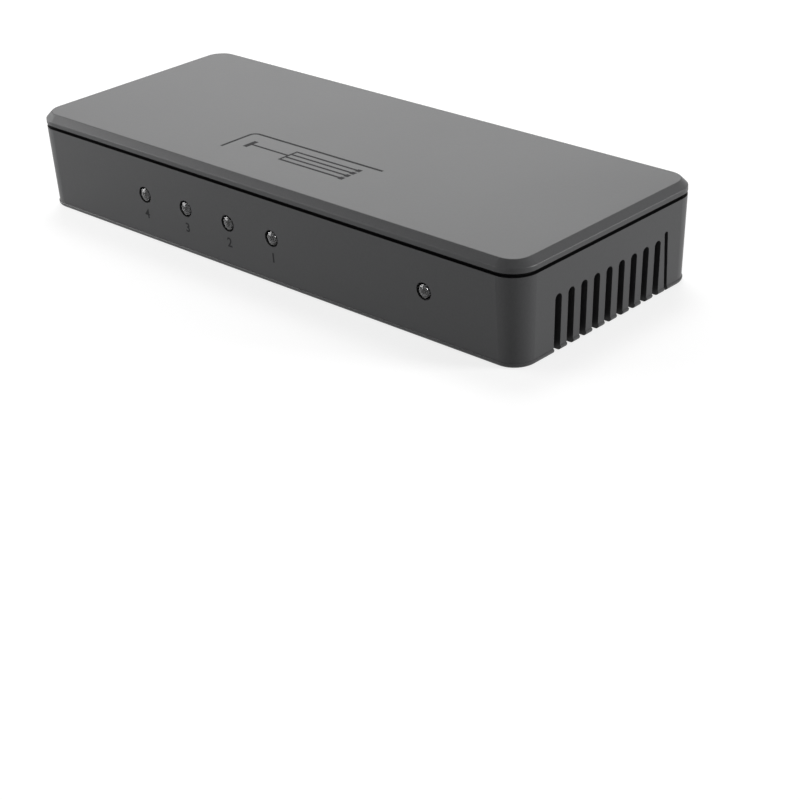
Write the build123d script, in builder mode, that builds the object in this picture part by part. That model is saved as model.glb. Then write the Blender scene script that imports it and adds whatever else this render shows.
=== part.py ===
from build123d import *
import math
import os

os.makedirs("parts", exist_ok=True)

# Overall size of the box, in millimetres
case_length = 140.0
case_width = 56.5
case_height = 22.0
corner_radius = 5.5
wall = 1.5
floor_thickness = 1.6
wall_draft = 0.8
bottom_round = 0.8
base_height = 1.0
base_step = 0.2
base_edge = 0.15

# Clearances shared by all pieces, and how far cuts run past the surface
flat_gap = 0.2
round_gap = 0.3
overrun = 1.0

# Cover and the parting groove under it
cover_side = 2.4
cover_top = 1.8
edge_chamfer = 1.4
edge_soft = 0.3
parting_gap = 0.8
parting_depth = 1.0
lip_thickness = 1.0
lip_depth = 2.4

# Vent slots in the two end walls
vent_count = 10
vent_pitch = 3.9
vent_width = 1.95
vent_drop = 7.3
vent_depth = 2.8
vent_shift = 1.5
last_vent_width = 1.1
last_vent_pitch = 2.7
last_vent_rise = 1.1
last_foot_width = 0.95
last_foot_pitch = 3.65

# Rear panel and its opening in the case, between two corner posts
post_width = 6.9
panel_gap = 0.5
panel_thickness = 1.5
panel_corner = 1.5
panel_bottom = 2.6
sill_height = 0.7
flange_thickness = 1.2
flange_overlap = 0.7
flange_reach = 1.3
guide_thickness = 0.9

# Circuit board
board_thickness = 1.6
board_end_gap = 6.0
board_front_gap = 2.4
board_rear_gap = 0.7

# Screws that hold the cover, driven from below into its bosses
column_end_inset = 4.6
column_side_inset = 6.65
column_radius = 2.4
column_drop = 7.6
case_screw_radius = 1.0
case_screw_tip_gap = 1.4
case_head_radius = 1.6
case_head_height = 1.2
head_recess = 2.6
boss_bite = 7.0

# Screws that hold the board on its standoffs
board_screw_end_inset = 7.0
board_screw_front_inset = 10.85
board_screw_rear_gap = 4.0
standoff_radius = 2.6
board_screw_radius = 1.25
board_head_radius = 2.2
board_head_height = 1.5
board_head_round = 0.5
drive_width = 0.5
drive_length = 2.0
drive_depth = 0.6

# Receptacles on the rear panel
port_count = 5
port_end_gap = 8.6
port_width = 14.0
port_height = 4.55
port_flat = 9.6
port_bend_out = 1.2
port_bend_up = 0.6
port_side = 2.3
port_corner = 0.4
shell_sheet = 0.3
shell_length = 11.5
mouth_recess = 0.45
port_clearance = 0.45
finger_spacing = 4.7
finger_width = 1.0
finger_start = 1.2
finger_length = 4.4
finger_bend = 0.5
finger_crest = 2.1
finger_slot = 0.3
leg_width = 1.4
leg_setback = 1.6
leg_spacing = 5.0

# Plastic tongue and contacts of a receptacle
tongue_width = 11.4
tongue_thickness = 1.6
tongue_recess = 1.1
tongue_rise = 1.6
tongue_edge = 0.3
core_depth = 3.6
core_foot = 9.0
core_tail = 1.6
contact_pitch = 1.0
contact_width = 0.45
contact_sheet = 0.12
upper_contacts = 10
lower_contacts = 9
contact_setback = 0.5
contact_exit = 0.4
contact_foot = 0.9

# Power jack
jack_end_gap = 7.3
jack_port_spacing = 22.9
jack_headroom = 2.1
jack_axis_rise = 5.8
jack_hole_bevel = 0.15
jack_width = 9.0
jack_height = 10.4
jack_length = 13.0
jack_edge = 0.8
jack_setback = 3.4
jack_nose_radius = 3.7
jack_nose_recess = 1.0
jack_bore_radius = 3.1
jack_bore_depth = 11.6
jack_pin_radius = 1.05
jack_pin_recess = 2.6
jack_pin_tip = 0.4
jack_shank = 1.4
terminal_thickness = 0.5
terminal_width = 2.4
leaf_width = 2.2
leaf_sheet = 0.3
leaf_drop = 1.4
leaf_crest = 0.6
leaf_start = 1.0
leaf_setback = 2.6
leaf_run = 2.6
leaf_top = 5.4

# Lamps in the front wall
lamp_rise = 2.7
lamp_radius = 1.4
lamp_dome = 0.4
lamp_length = 5.3
lamp_flange_radius = 1.9
lamp_flange = 1.0
lamp_stand = 0.3
lamp_gap = 0.45
first_lamp_inset = 35.4
lamp_pitch = 13.1
output_lamps = 4
power_lamp_inset = 23.6
lead_thickness = 0.5
lead_spacing = 2.54
lead_run = 2.0

# Splitter chip, its thermal pad and its heat sink
chip_size = 14.0
chip_height = 1.4
chip_pins = 20
chip_pin_pitch = 0.65
chip_pin_width = 0.3
sink_pad_size = 12.0
sink_pad_thickness = 0.5
sink_size = 16.0
sink_base = 1.5
sink_height = 6.0
sink_fins = 6
sink_fin_thickness = 1.0
chip_place_share = 0.08

# Control chip and memory chips
control_size = 7.0
control_height = 1.1
control_pins = 8
control_pin_pitch = 0.8
control_pin_width = 0.35
memory_length = 4.9
memory_width = 3.9
memory_height = 1.5
memory_pins = 4
memory_pin_pitch = 1.27
memory_pin_width = 0.45
memory_count = 4

# Gull-wing leads of every chip
pin_sheet = 0.15
pin_shoulder = 0.4
pin_foot = 0.6
chip_lift = 0.1

# Power parts on the board
regulator_length = 6.5
regulator_width = 3.5
regulator_height = 1.6
regulator_tab_width = 3.0
regulator_pins = 3
regulator_pin_pitch = 2.3
regulator_pin_width = 0.7
regulator_count = 2
inductor_radius = 2.9
inductor_height = 3.0
inductor_rim = 0.6
inductor_waist = 1.6
winding_depth = 0.9
can_radius = 3.15
can_height = 5.4
can_groove = 0.25
can_groove_height = 1.2
can_base_size = 6.6
can_base_height = 0.6
can_round = 0.4
can_count = 3
fuse_length = 4.5
fuse_width = 3.2
fuse_height = 0.9
diode_length = 4.3
diode_width = 2.6
diode_height = 2.2
diode_edge = 0.3
crystal_length = 10.6
crystal_width = 4.4
crystal_height = 3.2
crystal_rim = 0.5
crystal_rim_height = 0.4

# Small parts behind each receptacle and around the splitter chip
array_length = 2.6
array_width = 1.2
array_height = 0.6
array_count = 2
array_pitch = 5.0
array_gap = 1.0
passive_length = 1.6
passive_width = 0.8
resistor_height = 0.45
resistor_count = 4
resistor_pitch = 2.4
resistor_gap = 1.0
capacitor_height = 0.8
capacitor_count = 6
capacitor_pitch = 2.4
capacitor_gap = 0.8

# Rows of parts on the board, as shares of the free depth before and behind its middle
front_row_share = -0.5
rear_row_share = 0.45

# Heights that follow from the sizes above
cover_seat = case_height - cover_side
cover_ceiling = case_height - cover_top
case_rim = cover_seat - parting_gap
lean_angle = math.degrees(math.atan(wall_draft / cover_seat))
board_top = cover_ceiling - jack_headroom - jack_height
board_bottom = board_top - board_thickness
solder_reach = (board_bottom - floor_thickness) / 4
port_floor = board_top + shell_sheet
tongue_low = port_floor + tongue_rise
tongue_high = tongue_low + tongue_thickness
port_ceiling = port_floor + port_height
jack_axis_height = board_top + jack_axis_rise
lamp_height = board_top + lamp_rise
vent_top = cover_seat - vent_drop
column_top = cover_seat - column_drop
case_screw_length = column_top + boss_bite - case_screw_tip_gap - head_recess
board_screw_length = board_thickness + (board_bottom - floor_thickness) / 2
jack_hole_radius = jack_nose_radius + round_gap
lamp_hole_radius = lamp_radius + lamp_gap
dome_curve = (lamp_radius**2 + lamp_dome**2) / (2 * lamp_dome)
dome_angle = math.degrees(math.asin(lamp_radius / dome_curve))


def lean_at(height):
    """How far a leaning wall stands inside the full size at a height."""
    return wall_draft * (1 - height / cover_seat)


# Places that follow from the sizes above
half_length = case_length / 2
half_width = case_width / 2
panel_back = half_width - wall_draft - panel_thickness
flange_front = panel_back - flange_thickness
panel_half = half_length - post_width
board_half_length = half_length - board_end_gap
board_front = -(half_width - wall - board_front_gap)
board_rear = flange_front - board_rear_gap
board_half_width = (board_rear - board_front) / 2
board_centre = (board_rear + board_front) / 2
port_mouth = half_width - lean_at(port_floor + port_height / 2) - mouth_recess
port_back = port_mouth - shell_length
core_front = port_back + core_depth
core_rear = port_back - core_tail
tongue_front = port_mouth - tongue_recess
lower_exit = core_rear - contact_exit
upper_exit = lower_exit - contact_foot - contact_exit
contact_end = upper_exit - contact_foot
leg_places = [(side * (port_width + shell_sheet) / 2, port_back + leg_setback + step * leg_spacing)
              for side in (-1, 1) for step in (0, 1)]
first_port_x = port_end_gap - panel_half
jack_x = panel_half - jack_end_gap
port_pitch = (jack_x - jack_port_spacing - first_port_x) / (port_count - 1)
port_places = [first_port_x + port_pitch * index for index in range(port_count)]
jack_face = half_width - lean_at(jack_axis_height)
jack_front = jack_face - jack_setback
jack_nose = jack_face - jack_nose_recess
jack_rear = jack_front - jack_length
bore_end = jack_nose - jack_bore_depth
leaf_back = bore_end + leaf_start
leaf_front = jack_nose - leaf_setback
leaf_floor = jack_axis_height - jack_bore_radius - leaf_drop
lamp_tip = -(half_width - lean_at(lamp_height) + lamp_stand)
lamp_rear = lamp_tip + lamp_length
lead_y = lamp_rear + lead_run
first_lamp_x = first_lamp_inset - half_length
power_lamp_x = half_length - power_lamp_inset
lamp_places = [first_lamp_x + lamp_pitch * index for index in range(output_lamps)]
lamp_places.append(power_lamp_x)
lead_places = [x + side * lead_spacing / 2 for x in lamp_places for side in (-1, 1)]
column_x = half_length - column_end_inset
column_y = half_width - column_side_inset
column_places = [(x, y) for x in (-column_x, column_x) for y in (-column_y, column_y)]
vent_row = [vent_shift + vent_pitch * (index - (vent_count - 1) / 2) for index in range(vent_count - 1)]
vent_slots = [(place, vent_width, place, vent_width, vent_top) for place in vent_row]
vent_slots.append((vent_row[-1] + last_foot_pitch, last_foot_width,
                   vent_row[-1] + last_vent_pitch, last_vent_width, vent_top + last_vent_rise))

# Places on the board, between the lamp leads in front and the small parts behind the receptacles
array_y = contact_end - array_gap - array_width / 2
resistor_y = array_y - array_width / 2 - resistor_gap - passive_length / 2
zone_front = lead_y + lead_thickness
zone_rear = resistor_y - passive_length / 2
zone_middle = (zone_front + zone_rear) / 2
zone_half = (zone_rear - zone_front) / 2
front_row = zone_middle + front_row_share * zone_half
rear_row = zone_middle + rear_row_share * zone_half
board_screw_x = board_half_length - board_screw_end_inset
standoff_places = [(x, y) for x in (-board_screw_x, board_screw_x)
                   for y in (board_front + board_screw_front_inset, zone_rear - board_screw_rear_gap)]
pin_reach = pin_shoulder + pin_foot
chip_x = chip_place_share * board_half_length
capacitor_x = chip_size / 2 + pin_reach + capacitor_gap + passive_length / 2
chip_side = capacitor_x + passive_length / 2
row_end = board_screw_x - board_head_radius


def spread(low, high, lengths):
    """Centres of pieces laid in a row between two limits with equal gaps."""
    gap = (high - low - sum(lengths)) / (len(lengths) + 1)
    return [low + gap * (index + 1) + sum(lengths[:index]) + length / 2
            for index, length in enumerate(lengths)]


def level(height):
    """A horizontal plane at a height."""
    return Plane.XY.offset(height)


def upright(y):
    """A plane across the box at y: its x runs right and its y runs up, drawn towards the front."""
    return Plane.XZ.offset(-y)


def row_of(place, count, pitch):
    """Places in a row along x, centred on a place."""
    start = place[0] - pitch * (count - 1) / 2
    return [(start + pitch * index, place[1]) for index in range(count)]


def block(plane, places, length, width, height, mode=Mode.ADD):
    """Equal blocks standing on a plane, in the part being built."""
    with BuildSketch(plane) as outline:
        with Locations(*places):
            Rectangle(length, width)
    extrude(outline.sketch, amount=height, mode=mode)


def post(plane, places, radius, height, mode=Mode.ADD):
    """Equal round posts standing on a plane, in the part being built."""
    with BuildSketch(plane) as outline:
        with Locations(*places):
            Circle(radius)
    extrude(outline.sketch, amount=height, mode=mode)


def span(x_range, y_range, z_range, mode=Mode.ADD):
    """A block between two corners, in the part being built."""
    centre = ((x_range[0] + x_range[1]) / 2, (y_range[0] + y_range[1]) / 2)
    block(level(z_range[0]), [centre], x_range[1] - x_range[0], y_range[1] - y_range[0],
          z_range[1] - z_range[0], mode)


def bent_strip(x, points, thickness, width, mode=Mode.ADD):
    """Sheet bent along points of y and z, on the left of their path, centred on x."""
    with BuildSketch(Plane.YZ.offset(x)) as outline:
        with BuildLine():
            Polyline(*points)
            offset(amount=thickness, kind=Kind.INTERSECTION, side=Side.LEFT)
        make_face()
    extrude(outline.sketch, amount=width / 2, both=True, mode=mode)


def leaning_block(inset, bottom, top, mode=Mode.ADD):
    """The box's plan with leaning walls, set in from the outer faces, in the part being built."""
    edge = inset + lean_at(bottom)
    with BuildSketch(level(bottom)) as outline:
        RectangleRounded(case_length - 2 * edge, case_width - 2 * edge, corner_radius - edge)
    extrude(outline.sketch, amount=top - bottom, taper=-lean_angle, mode=mode)


def upright_plan(inset, bottom, top, mode=Mode.ADD):
    """The box's plan with upright walls, set in from the full size, in the part being built."""
    with BuildSketch(level(bottom)) as outline:
        RectangleRounded(case_length - 2 * inset, case_width - 2 * inset, corner_radius - inset)
    extrude(outline.sketch, amount=top - bottom, mode=mode)


def panel_outline(grow, bottom, top):
    """The rear panel's outline, made wider on each side, as a sketch behind the box."""
    with BuildSketch(upright(half_width + overrun)) as outline:
        with Locations((0, (bottom + top) / 2)):
            Rectangle(2 * (panel_half + grow), top - bottom)
        fillet(outline.vertices().group_by(Axis.Z)[0], panel_corner)
    return outline.sketch


def port_outline(x, grow, y):
    """A receptacle's opening at x, made larger all round, as a sketch at y."""
    half_top = port_width / 2
    half_flat = port_flat / 2
    shoulder = port_ceiling - port_side
    half_bend = half_flat + port_bend_out
    bend = port_floor + port_bend_up
    with BuildSketch(upright(y)) as outline:
        with BuildLine():
            Polyline(
                (x - half_top, port_ceiling),
                (x + half_top, port_ceiling),
                (x + half_top, shoulder),
                (x + half_bend, bend),
                (x + half_flat, port_floor),
                (x - half_flat, port_floor),
                (x - half_bend, bend),
                (x - half_top, shoulder),
                close=True,
            )
        make_face()
        fillet(outline.vertices(), port_corner)
        if grow:
            offset(amount=grow, mode=Mode.REPLACE)
    return outline.sketch


def gull_leads(places, sides, length, width, height, pins, pitch, pin_width):
    """Bent leads along the given sides of equal chips, in the part being built."""
    middle = board_top + chip_lift + height / 2
    for place in places:
        for angle in sides:
            out = Vector(1, 0, 0).rotate(Axis.Z, angle)
            half = length / 2 if angle % 180 == 0 else width / 2
            corner = Vector(place[0], place[1], 0) + out * half
            with BuildSketch(Plane(corner, x_dir=out, z_dir=out.rotate(Axis.Z, -90))) as outline:
                with BuildLine():
                    Polyline((0, middle), (pin_shoulder, middle), (pin_shoulder, board_top),
                             (pin_reach, board_top))
                    offset(amount=pin_sheet, kind=Kind.INTERSECTION, side=Side.LEFT)
                make_face()
            extrude(outline.sketch, amount=pitch * pins / 2, both=True)
    with BuildSketch(level(board_top)) as comb:
        for place in places:
            for angle in sides:
                half = length / 2 if angle % 180 == 0 else width / 2
                with Locations(Location((place[0], place[1], 0), (0, 0, angle))):
                    with Locations((half + pin_reach / 2, 0)):
                        with GridLocations(0, pitch, 1, pins):
                            Rectangle(pin_reach, pin_width)
    extrude(comb.sketch, amount=chip_lift + height, mode=Mode.INTERSECT)


def save(piece, name):
    """Names a finished piece and writes it."""
    piece.part.label = name
    export_step(piece.part, f"parts/{name}.step")


# Bottom case: floor with its step, leaning walls, vents, lamp holes, columns, standoffs, panel guides
with BuildPart() as bottom_case:
    leaning_block(-base_step, 0, base_height)
    fillet(bottom_case.faces().sort_by(Axis.Z)[0].edges(), bottom_round)
    chamfer(bottom_case.faces().sort_by(Axis.Z)[-1].edges(), base_edge)
    leaning_block(0, base_height, case_rim)
    leaning_block(parting_depth, case_rim, cover_seat)
    leaning_block(wall, floor_thickness, cover_seat + overrun, Mode.SUBTRACT)
    extrude(panel_outline(panel_gap / 2, sill_height, cover_seat + overrun),
            amount=half_width + overrun - panel_back + overrun, mode=Mode.SUBTRACT)
    for side in (-1, 1):
        end = Plane((side * (half_length + overrun), 0, 0), x_dir=(0, side, 0), z_dir=(side, 0, 0))
        with BuildSketch(end) as vents:
            for foot, foot_width, place, width, top in vent_slots:
                shoulder = top - width / 2
                with BuildLine():
                    Polyline((place - width / 2, shoulder), (foot - foot_width / 2, -overrun),
                             (foot + foot_width / 2, -overrun), (place + width / 2, shoulder))
                    ThreePointArc((place + width / 2, shoulder), (place, top), (place - width / 2, shoulder))
                make_face()
        extrude(vents.sketch, amount=-(vent_depth + overrun), mode=Mode.SUBTRACT)
    post(upright(lamp_tip + wall + wall_draft), [(x, lamp_height) for x in lamp_places],
         lamp_hole_radius, wall + wall_draft + overrun, Mode.SUBTRACT)
    post(level(floor_thickness), column_places, column_radius, column_top - floor_thickness)
    post(level(0), column_places, case_head_radius + round_gap, head_recess, Mode.SUBTRACT)
    post(level(0), column_places, case_screw_radius + round_gap, column_top, Mode.SUBTRACT)
    post(level(floor_thickness), standoff_places, standoff_radius, board_bottom - floor_thickness)
    post(level(floor_thickness), standoff_places, board_screw_radius + round_gap,
         board_bottom - floor_thickness, Mode.SUBTRACT)
    guide_rear = flange_front - flat_gap
    guide_start = board_half_length + flat_gap
    for side in (-1, 1):
        span(sorted((side * guide_start, side * (half_length - wall))),
             (guide_rear - guide_thickness, guide_rear), (floor_thickness, column_top))
save(bottom_case, "bottom_case")

# Cover: chamfered lid, side band, locating lip, four screw bosses
with BuildPart() as top_cover:
    upright_plan(0, cover_seat, case_height)
    chamfer(top_cover.faces().sort_by(Axis.Z)[-1].edges(), edge_chamfer)
    levels = top_cover.edges().group_by(Axis.Z)
    fillet(levels[-1] + levels[-3], edge_soft)
    upright_plan(wall, cover_seat, cover_ceiling, Mode.SUBTRACT)
    lip_bottom = cover_seat - lip_depth
    lip_inset = wall + lean_at(lip_bottom) + round_gap
    upright_plan(lip_inset, lip_bottom, cover_ceiling)
    upright_plan(lip_inset + lip_thickness, lip_bottom, cover_ceiling, Mode.SUBTRACT)
    span((-half_length, half_length), (flange_front - flat_gap, half_width), (lip_bottom, cover_seat),
         Mode.SUBTRACT)
    post(level(column_top), column_places, column_radius, cover_ceiling - column_top)
    post(level(column_top), column_places, case_screw_radius + round_gap, boss_bite, Mode.SUBTRACT)
save(top_cover, "top_cover")

# Rear panel: leaning plate with side flanges, receptacle openings and the jack opening
with BuildPart() as rear_panel:
    leaning_block(0, 0, cover_seat)
    extrude(panel_outline(-panel_gap / 2, panel_bottom, cover_seat),
            amount=half_width + overrun - panel_back, mode=Mode.INTERSECT)
    for side in (-1, 1):
        span(sorted((side * (panel_half - flange_overlap), side * (panel_half + flange_reach))),
             (flange_front, panel_back), (floor_thickness, cover_seat - flat_gap))
    for x in port_places:
        extrude(port_outline(x, shell_sheet + port_clearance, half_width + overrun),
                amount=half_width + overrun - panel_back + overrun, mode=Mode.SUBTRACT)
    post(upright(half_width + overrun), [(jack_x, jack_axis_height)], jack_hole_radius,
         half_width + overrun - panel_back + overrun, Mode.SUBTRACT)
    jack_mouth = rear_panel.edges().sort_by_distance((jack_x, jack_face, jack_axis_height))[0]
    chamfer(jack_mouth, jack_hole_bevel)
save(rear_panel, "rear_panel")

# Circuit board: notched round the columns, drilled for screws, legs and leads
with BuildPart() as circuit_board:
    block(level(board_bottom), [(0, board_centre)], 2 * board_half_length, 2 * board_half_width,
          board_thickness)
    post(level(board_bottom), column_places, column_radius + round_gap, board_thickness, Mode.SUBTRACT)
    post(level(board_bottom), standoff_places, board_screw_radius + round_gap, board_thickness, Mode.SUBTRACT)
    post(level(board_bottom), [(x, lead_y + lead_thickness / 2) for x in lead_places],
         lead_thickness / 2 + round_gap, board_thickness, Mode.SUBTRACT)
    block(level(board_bottom), [(x + leg[0], leg[1]) for x in port_places for leg in leg_places],
          shell_sheet + 2 * flat_gap, leg_width + 2 * flat_gap, board_thickness, Mode.SUBTRACT)
    block(level(board_bottom), [(jack_x, jack_rear - terminal_thickness / 2)],
          terminal_width + 2 * flat_gap, terminal_thickness + 2 * flat_gap, board_thickness, Mode.SUBTRACT)
    block(level(board_bottom), [(jack_x, leaf_back - leaf_sheet / 2)],
          leaf_width + 2 * flat_gap, leaf_sheet + 2 * flat_gap, board_thickness, Mode.SUBTRACT)
save(circuit_board, "circuit_board")

# Shell of a receptacle: steel tube with sprung fingers above and below and four legs
with BuildPart() as shell_form:
    extrude(port_outline(0, shell_sheet, port_mouth), amount=shell_length)
    extrude(port_outline(0, 0, port_mouth), amount=shell_length, mode=Mode.SUBTRACT)
    finger_tip = port_mouth - finger_start
    finger_root = finger_tip - finger_length
    finger_places = (-finger_spacing / 2, finger_spacing / 2)
    block(level(port_floor - shell_sheet - overrun),
          [(x, (finger_root + finger_slot + finger_tip) / 2) for x in finger_places],
          finger_width + 2 * finger_slot, finger_length - finger_slot,
          port_height + 2 * (shell_sheet + overrun), Mode.SUBTRACT)
    for x in finger_places:
        outer = port_floor - shell_sheet
        bent_strip(x, [(finger_root, outer), (port_mouth - finger_crest, outer + finger_bend),
                       (finger_tip - finger_slot, outer)], shell_sheet, finger_width)
        outer = port_ceiling + shell_sheet
        bent_strip(x, [(finger_tip - finger_slot, outer), (port_mouth - finger_crest, outer - finger_bend),
                       (finger_root, outer)], shell_sheet, finger_width)
    leg_low = board_bottom - solder_reach
    block(level(leg_low), leg_places, shell_sheet, leg_width, port_ceiling - port_side / 2 - leg_low)

# Contacts of a receptacle: an upper and a lower row of bent strips
with BuildPart() as contact_form:
    for height, row_exit, count in (
        (tongue_high, upper_exit, upper_contacts),
        (tongue_low - contact_sheet, lower_exit, lower_contacts),
    ):
        for place in row_of((0, 0), count, contact_pitch):
            bent_strip(place[0], [(row_exit - contact_foot, board_top), (row_exit, board_top),
                                  (row_exit, height), (tongue_front - contact_setback, height)],
                       contact_sheet, contact_width)

# Plastic core of a receptacle with its tongue, grooved for the contacts
with BuildPart() as core_form:
    span((-tongue_width / 2, tongue_width / 2), (core_front, tongue_front), (tongue_low, tongue_high))
    chamfer(core_form.faces().sort_by(Axis.Y)[-1].edges(), tongue_edge)
    extrude(port_outline(0, -round_gap, core_front), amount=core_depth)
    span((-core_foot / 2, core_foot / 2), (port_back, core_front), (port_floor, port_ceiling))
    span((-port_width / 2, port_width / 2), (core_rear, port_back), (board_top, port_ceiling))
    add(contact_form.part, mode=Mode.SUBTRACT)

for index, x in enumerate(port_places, start=1):
    for form, name in ((shell_form, "hdmi_shell"), (contact_form, "hdmi_contacts"), (core_form, "hdmi_core")):
        with BuildPart() as placed:
            with Locations((x, 0, 0)):
                add(form.part)
        save(placed, f"{name}_{index}")

# Power jack: housing with nose and bore, centre pin with its terminal, sprung leaf with its terminal
with BuildPart() as dc_jack_housing:
    span((jack_x - jack_width / 2, jack_x + jack_width / 2), (jack_rear, jack_front),
         (board_top, board_top + jack_height))
    fillet(dc_jack_housing.edges().filter_by(Axis.Y).group_by(Axis.Z)[-1], jack_edge)
    post(upright(jack_nose), [(jack_x, jack_axis_height)], jack_nose_radius, jack_nose - jack_front)
    post(upright(jack_nose), [(jack_x, jack_axis_height)], jack_bore_radius, jack_bore_depth, Mode.SUBTRACT)
    leaf_half = leaf_width / 2 + flat_gap
    span((jack_x - leaf_half, jack_x + leaf_half), (leaf_back - leaf_sheet - flat_gap, leaf_front + flat_gap),
         (leaf_floor, jack_axis_height - jack_bore_radius / 2), Mode.SUBTRACT)
    span((jack_x - leaf_half, jack_x + leaf_half), (leaf_back - leaf_sheet - flat_gap, leaf_back + flat_gap),
         (board_top, leaf_floor), Mode.SUBTRACT)
    block(upright(bore_end), [(jack_x, jack_axis_height)], jack_shank, jack_shank,
          bore_end - jack_rear, Mode.SUBTRACT)
save(dc_jack_housing, "dc_jack_housing")

with BuildPart() as dc_jack_pin:
    pin_tip = jack_nose - jack_pin_recess
    post(upright(pin_tip), [(jack_x, jack_axis_height)], jack_pin_radius, pin_tip - bore_end)
    fillet(dc_jack_pin.faces().sort_by(Axis.Y)[-1].edges(), jack_pin_tip)
    block(upright(bore_end), [(jack_x, jack_axis_height)], jack_shank, jack_shank, bore_end - jack_rear)
    span((jack_x - terminal_width / 2, jack_x + terminal_width / 2),
         (jack_rear - terminal_thickness, jack_rear),
         (board_bottom - solder_reach, jack_axis_height + terminal_width / 2))
save(dc_jack_pin, "dc_jack_pin")

with BuildPart() as dc_jack_leaf:
    bent_strip(jack_x, [(leaf_back, board_bottom - solder_reach), (leaf_back, leaf_floor),
                        (leaf_back + leaf_run, leaf_floor),
                        (leaf_back + leaf_top, jack_axis_height - jack_bore_radius + leaf_crest - leaf_sheet),
                        (leaf_front, leaf_floor + flat_gap)], leaf_sheet, leaf_width)
save(dc_jack_leaf, "dc_jack_leaf")

# Lamps: domed lens with a flange, on two bent leads
for index, x in enumerate(lamp_places, start=1):
    with BuildPart() as lamp:
        with BuildSketch(Plane((x, lamp_tip, lamp_height), x_dir=(0, 1, 0), z_dir=(1, 0, 0))) as half_outline:
            with BuildLine():
                CenterArc((dome_curve, 0), dome_curve, 180 - dome_angle, dome_angle)
                Polyline((0, 0), (lamp_length, 0), (lamp_length, lamp_flange_radius),
                         (lamp_length - lamp_flange, lamp_flange_radius),
                         (lamp_length - lamp_flange, lamp_radius), (lamp_dome, lamp_radius))
            make_face()
        revolve(half_outline.sketch, axis=Axis((x, lamp_tip, lamp_height), (0, 1, 0)))
    save(lamp, "led_power" if x == power_lamp_x else f"led_output_{index}")

with BuildPart() as led_leads:
    lead_level = lamp_height - lead_thickness / 2
    for x in lead_places:
        bent_strip(x, [(lamp_rear, lead_level), (lead_y, lead_level), (lead_y, board_bottom - solder_reach)],
                   lead_thickness, lead_thickness)
save(led_leads, "led_leads")

# Splitter chip with its leads, thermal pad and finned heat sink
chip_place = (chip_x, zone_middle)
with BuildPart() as splitter_chip:
    block(level(board_top + chip_lift), [chip_place], chip_size, chip_size, chip_height)
save(splitter_chip, "splitter_chip")

with BuildPart() as splitter_chip_leads:
    gull_leads([chip_place], (0, 90, 180, 270), chip_size, chip_size, chip_height, chip_pins,
               chip_pin_pitch, chip_pin_width)
save(splitter_chip_leads, "splitter_chip_leads")

with BuildPart() as thermal_pad:
    pad_level = board_top + chip_lift + chip_height
    block(level(pad_level), [chip_place], sink_pad_size, sink_pad_size, sink_pad_thickness)
save(thermal_pad, "thermal_pad")

with BuildPart() as heat_sink:
    sink_level = pad_level + sink_pad_thickness
    block(level(sink_level), [chip_place], sink_size, sink_size, sink_base)
    fin_pitch = (sink_size - sink_fin_thickness) / (sink_fins - 1)
    block(level(sink_level), row_of(chip_place, sink_fins, fin_pitch), sink_fin_thickness, sink_size,
          sink_height)
save(heat_sink, "heat_sink")

# Control chip and memory chips
crystal_x, control_x = spread(-row_end, chip_x - chip_side, (crystal_length, control_size + 2 * pin_reach))
control_place = (control_x, rear_row)
with BuildPart() as control_chip:
    block(level(board_top + chip_lift), [control_place], control_size, control_size, control_height)
save(control_chip, "control_chip")

with BuildPart() as control_chip_leads:
    gull_leads([control_place], (0, 90, 180, 270), control_size, control_size, control_height, control_pins,
               control_pin_pitch, control_pin_width)
save(control_chip_leads, "control_chip_leads")

memory_row = spread(-row_end, chip_x - chip_side, [memory_length] * memory_count)
memory_places = [(x, front_row) for x in memory_row]
with BuildPart() as memory_chips:
    block(level(board_top + chip_lift), memory_places, memory_length, memory_width, memory_height)
save(memory_chips, "memory_chips")

with BuildPart() as memory_chip_leads:
    gull_leads(memory_places, (90, 270), memory_length, memory_width, memory_height, memory_pins,
               memory_pin_pitch, memory_pin_width)
save(memory_chip_leads, "memory_chip_leads")

# Power parts: regulators, inductor, capacitor cans, fuse, diode, crystal
power_lengths = [regulator_length] * regulator_count + [2 * inductor_radius, fuse_length]
*regulator_row, inductor_x, fuse_x = spread(chip_x + chip_side, row_end, power_lengths)
*can_row, diode_x = spread(chip_x + chip_side, row_end, [can_base_size] * can_count + [diode_length])
regulator_places = [(x, rear_row) for x in regulator_row]
with BuildPart() as regulators:
    block(level(board_top + chip_lift), regulator_places, regulator_length, regulator_width, regulator_height)
save(regulators, "regulators")

with BuildPart() as regulator_leads:
    gull_leads(regulator_places, (270,), regulator_length, regulator_width, regulator_height, regulator_pins,
               regulator_pin_pitch, regulator_pin_width)
save(regulator_leads, "regulator_leads")

with BuildPart() as regulator_tabs:
    gull_leads(regulator_places, (90,), regulator_length, regulator_width, regulator_height, 1,
               regulator_tab_width, regulator_tab_width)
save(regulator_tabs, "regulator_tabs")

inductor_place = (inductor_x, rear_row)
with BuildPart() as power_inductor:
    post(level(board_top), [inductor_place], inductor_radius, inductor_rim)
    post(level(board_top), [inductor_place], inductor_waist, inductor_height)
    post(level(board_top + inductor_height - inductor_rim), [inductor_place], inductor_radius, inductor_rim)
save(power_inductor, "power_inductor")

with BuildPart() as inductor_winding:
    winding_height = inductor_height - 2 * inductor_rim
    winding_inside = inductor_waist + round_gap
    post(level(board_top + inductor_rim), [inductor_place], winding_inside + winding_depth, winding_height)
    post(level(board_top + inductor_rim), [inductor_place], winding_inside, winding_height, Mode.SUBTRACT)
save(inductor_winding, "inductor_winding")

can_places = [(x, front_row) for x in can_row]
with BuildPart() as capacitor_bases:
    block(level(board_top), can_places, can_base_size, can_base_size, can_base_height)
save(capacitor_bases, "capacitor_bases")

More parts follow.
